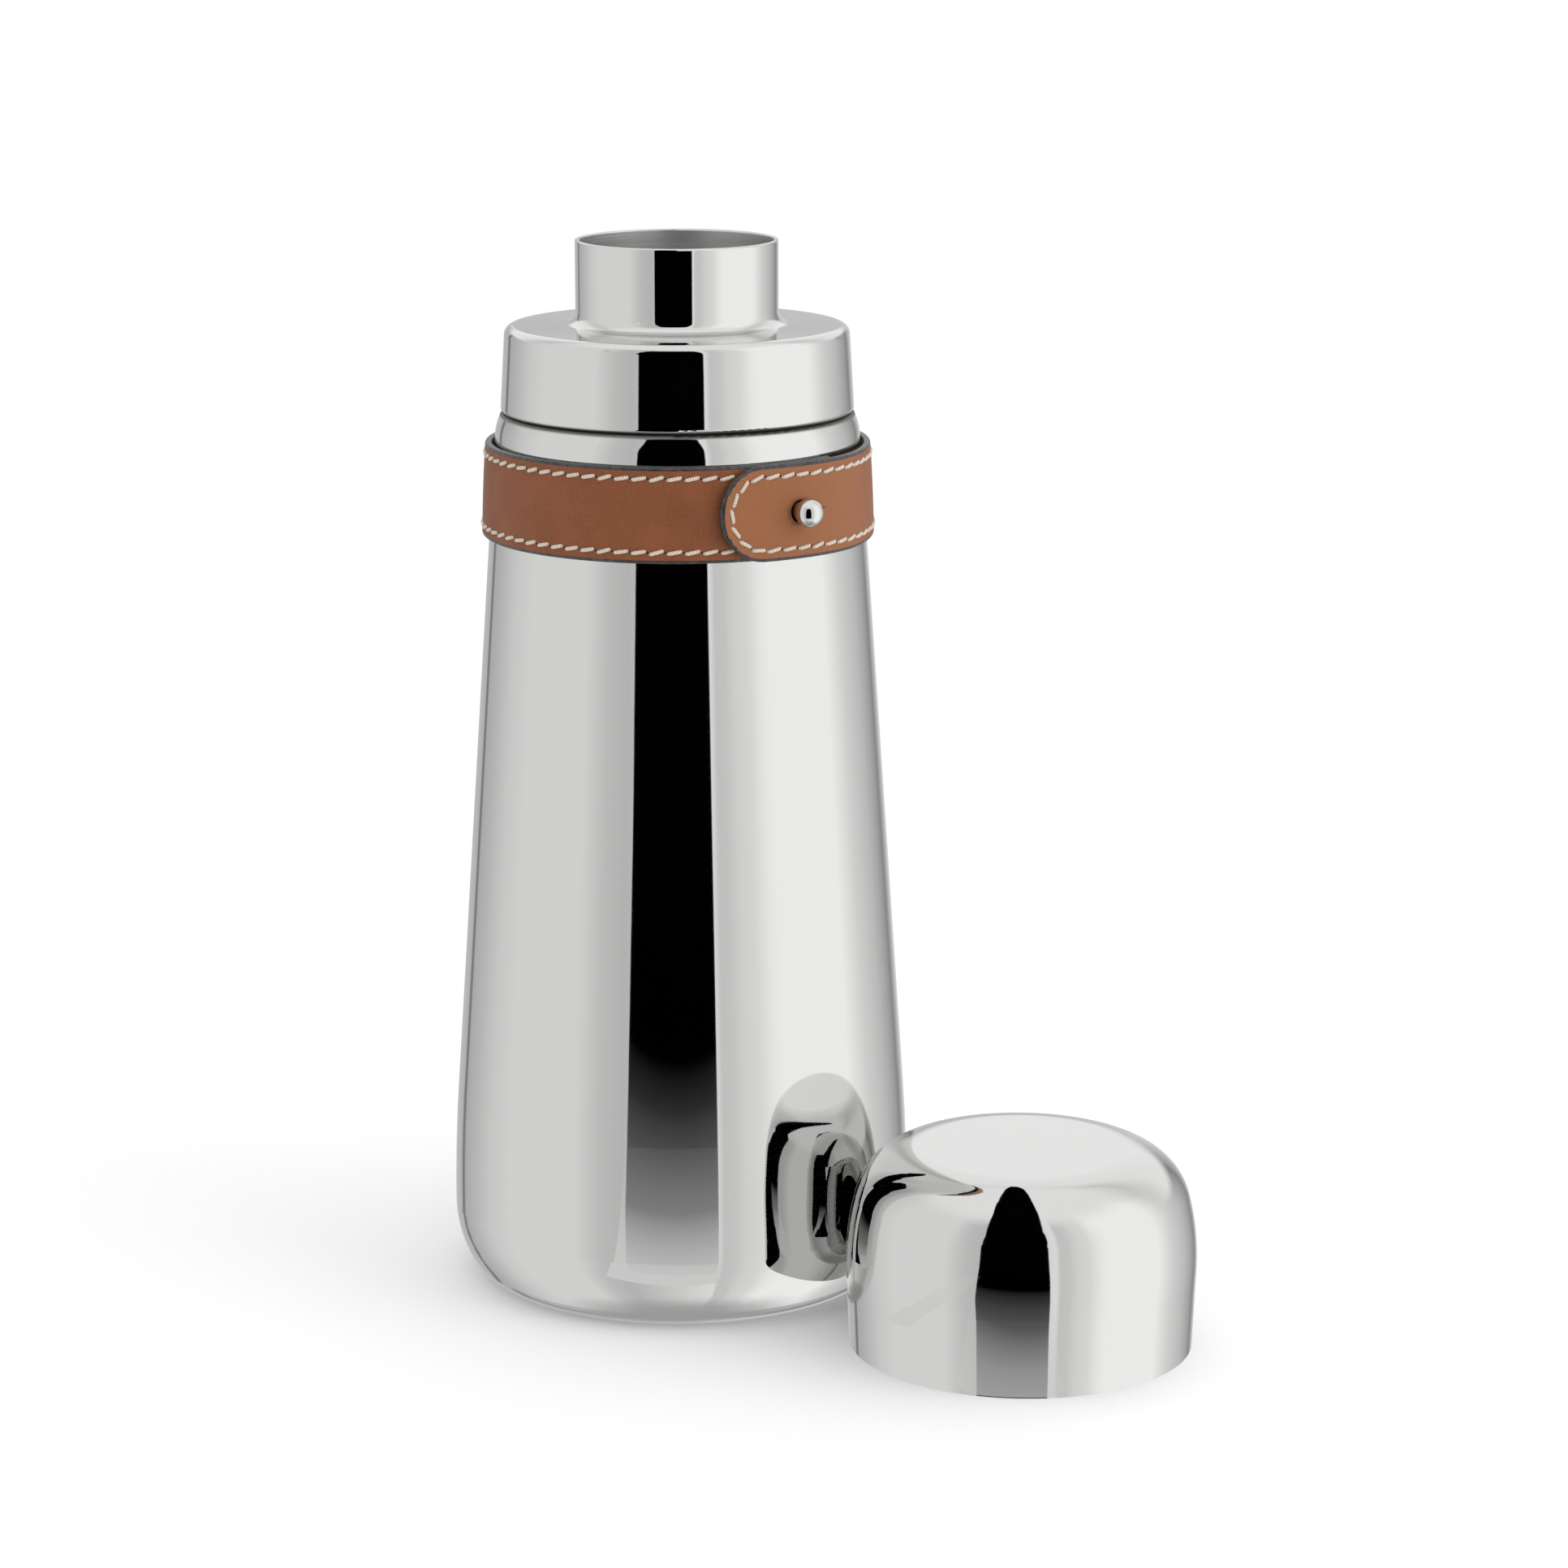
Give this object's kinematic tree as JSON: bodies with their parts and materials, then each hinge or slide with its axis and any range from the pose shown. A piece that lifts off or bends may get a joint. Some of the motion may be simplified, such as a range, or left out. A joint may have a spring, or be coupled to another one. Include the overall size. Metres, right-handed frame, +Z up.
{
  "type": "cocktail shaker",
  "caption": "Tapered steel cocktail shaker with a seated strainer top, an open neck, a lift-off domed cap and a stitched leather strap buttoned round it on a ball stud.",
  "frame": {"origin": "centre of the shaker's base, on the surface that it stands on", "axes": "+Z up the shaker's axis towards its neck, -Y towards the front, +X to the right; the cap stands beside the body at +X -Y"},
  "size_m": [0.1599, 0.1372, 0.2276],
  "materials": {
    "polished_steel": "mirror polished stainless steel",
    "satin_steel": "satin stainless steel",
    "tan_leather": "smooth tan leather",
    "lining_leather": "split leather lining",
    "thread": "waxed cream thread"
  },
  "bodies": {
    "shaker_body": {"body_shell": "polished_steel", "base_disc": "satin_steel", "mouth_collar": "satin_steel", "strap_leather": "tan_leather", "strap_lining": "lining_leather", "strap_upper_seam": "thread", "strap_lower_seam": "thread", "stud": "polished_steel", "stud_screw": "satin_steel"},
    "strainer_top": {"strainer_shell": "polished_steel", "strainer_neck": "polished_steel", "strainer_plug": "satin_steel", "strainer_plate": "satin_steel"},
    "cap": {"cap_shell": "polished_steel", "cap_cup": "satin_steel"},
    "strap_tab": {"tab_leather": "tan_leather", "tab_lining": "lining_leather", "tab_seam": "thread"}
  },
  "joints": [
    {"name": "strainer_lift", "type": "slide", "parent": "shaker_body", "child": "strainer_top", "axis": [0, 0, 1], "range_m": [0, 0.06]},
    {"name": "cap_lift", "type": "slide", "parent": "shaker_body", "child": "cap", "axis": [0, 0, 1], "range_m": [0, 0.22]},
    {"name": "tab_open", "type": "hinge", "parent": "shaker_body", "child": "strap_tab", "pos_m": [0.03933, -0.01798, 0.175], "axis": [0, 0, 1], "range_deg": [0, 70]}
  ]
}
